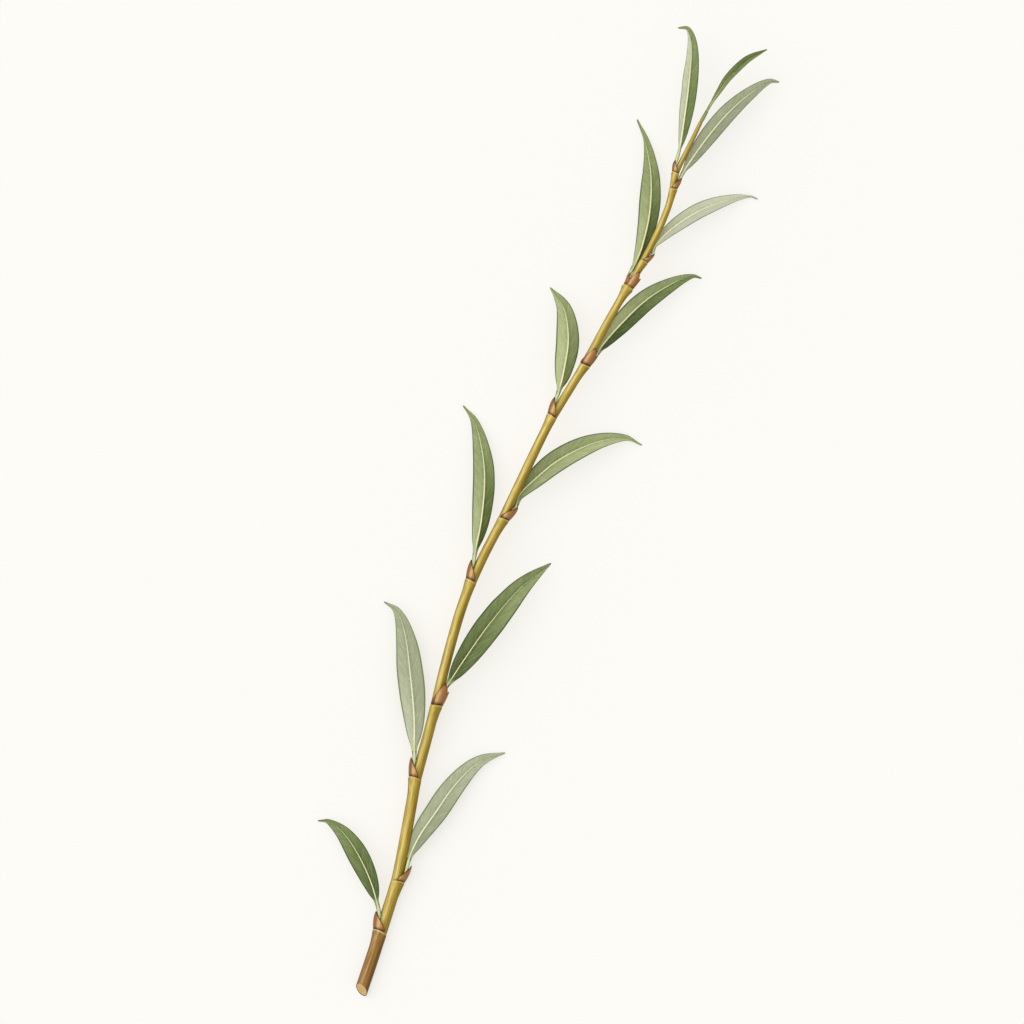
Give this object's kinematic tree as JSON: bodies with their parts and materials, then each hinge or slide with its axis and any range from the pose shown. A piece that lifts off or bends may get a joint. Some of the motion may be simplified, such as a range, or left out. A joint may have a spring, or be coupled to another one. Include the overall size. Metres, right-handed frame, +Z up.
{
  "type": "willow twig",
  "caption": "Leafy golden willow twig, cut at an angle and laid flat: tapering stem, narrow folded leaves on alternate sides, bud scales at their stalks.",
  "frame": {"origin": "middle of the twig's bounding box, on the surface it lies on", "axes": "+Y from the cut end towards the tip along the twig's outline, +X to the right seen from above, +Z up from the surface"},
  "size_m": [0.1751, 0.3682, 0.0183],
  "materials": {
    "bark": "smooth golden bark, satin",
    "leaf": "green above and pale grey-green below, satin",
    "bud_scale": "smooth reddish brown, satin"
  },
  "bodies": {
    "root": {"stem": "bark", "leaf_01": "leaf", "leaf_02": "leaf", "leaf_03": "leaf", "leaf_04": "leaf", "leaf_05": "leaf", "leaf_06": "leaf", "leaf_07": "leaf", "leaf_08": "leaf", "leaf_09": "leaf", "leaf_10": "leaf", "leaf_11": "leaf", "leaf_12": "leaf", "leaf_tip": "leaf", "bud_scale_01": "bud_scale", "bud_scale_02": "bud_scale", "bud_scale_03": "bud_scale", "bud_scale_04": "bud_scale", "bud_scale_05": "bud_scale", "bud_scale_06": "bud_scale", "bud_scale_07": "bud_scale", "bud_scale_08": "bud_scale", "bud_scale_09": "bud_scale", "bud_scale_09_front": "bud_scale", "bud_scale_10": "bud_scale", "bud_scale_11": "bud_scale", "bud_scale_12": "bud_scale"}
  },
  "joints": []
}
